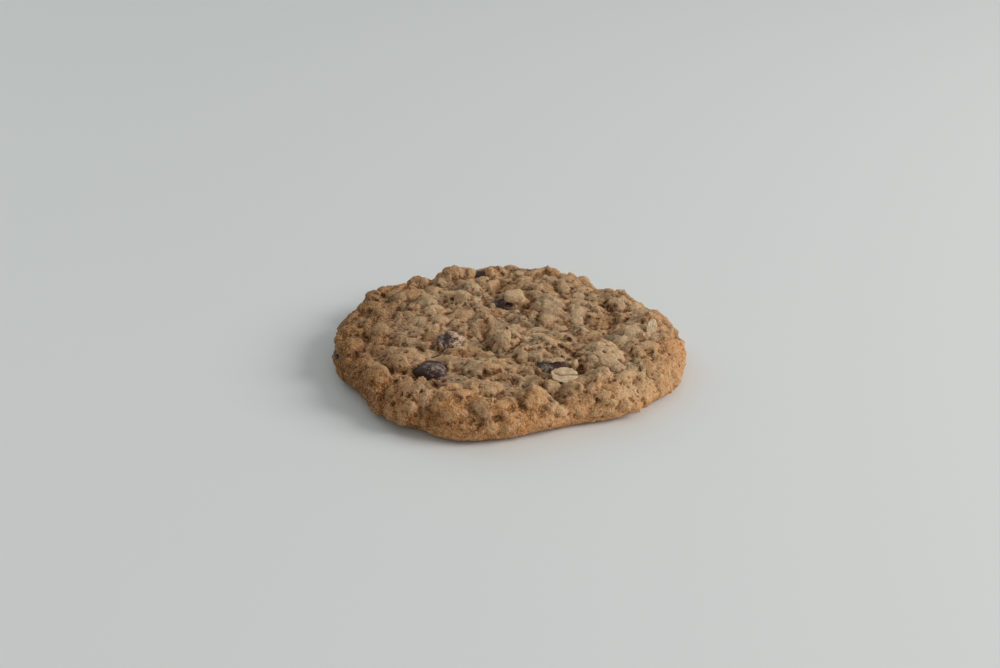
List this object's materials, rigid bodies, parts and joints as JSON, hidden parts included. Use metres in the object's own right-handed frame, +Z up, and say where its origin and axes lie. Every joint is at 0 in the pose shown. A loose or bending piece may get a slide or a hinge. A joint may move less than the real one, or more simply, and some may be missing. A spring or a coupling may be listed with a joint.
{
  "type": "ranger cookie",
  "caption": "Large round oatmeal cookie, thick and craggy, with oat flakes and dark chocolate chips in its top and a flat baked base.",
  "frame": {"origin": "middle of the cookie's box, on the surface that its flat base rests on", "axes": "+Z up through the cookie's thickness, +X along its greatest width, -Y towards the side seen from the front"},
  "size_m": [0.117, 0.1114, 0.0156],
  "materials": {
    "baked_dough": "dry, porous baked oat dough, tan on top and golden brown at the rim",
    "dark_chocolate": "dull dark chocolate with a thin greyish bloom"
  },
  "bodies": {
    "root": {"cookie": "baked_dough", "chip_1": "dark_chocolate", "chip_2": "dark_chocolate", "chip_3": "dark_chocolate", "chip_4": "dark_chocolate", "chip_5": "dark_chocolate", "chip_6": "dark_chocolate"}
  },
  "joints": []
}
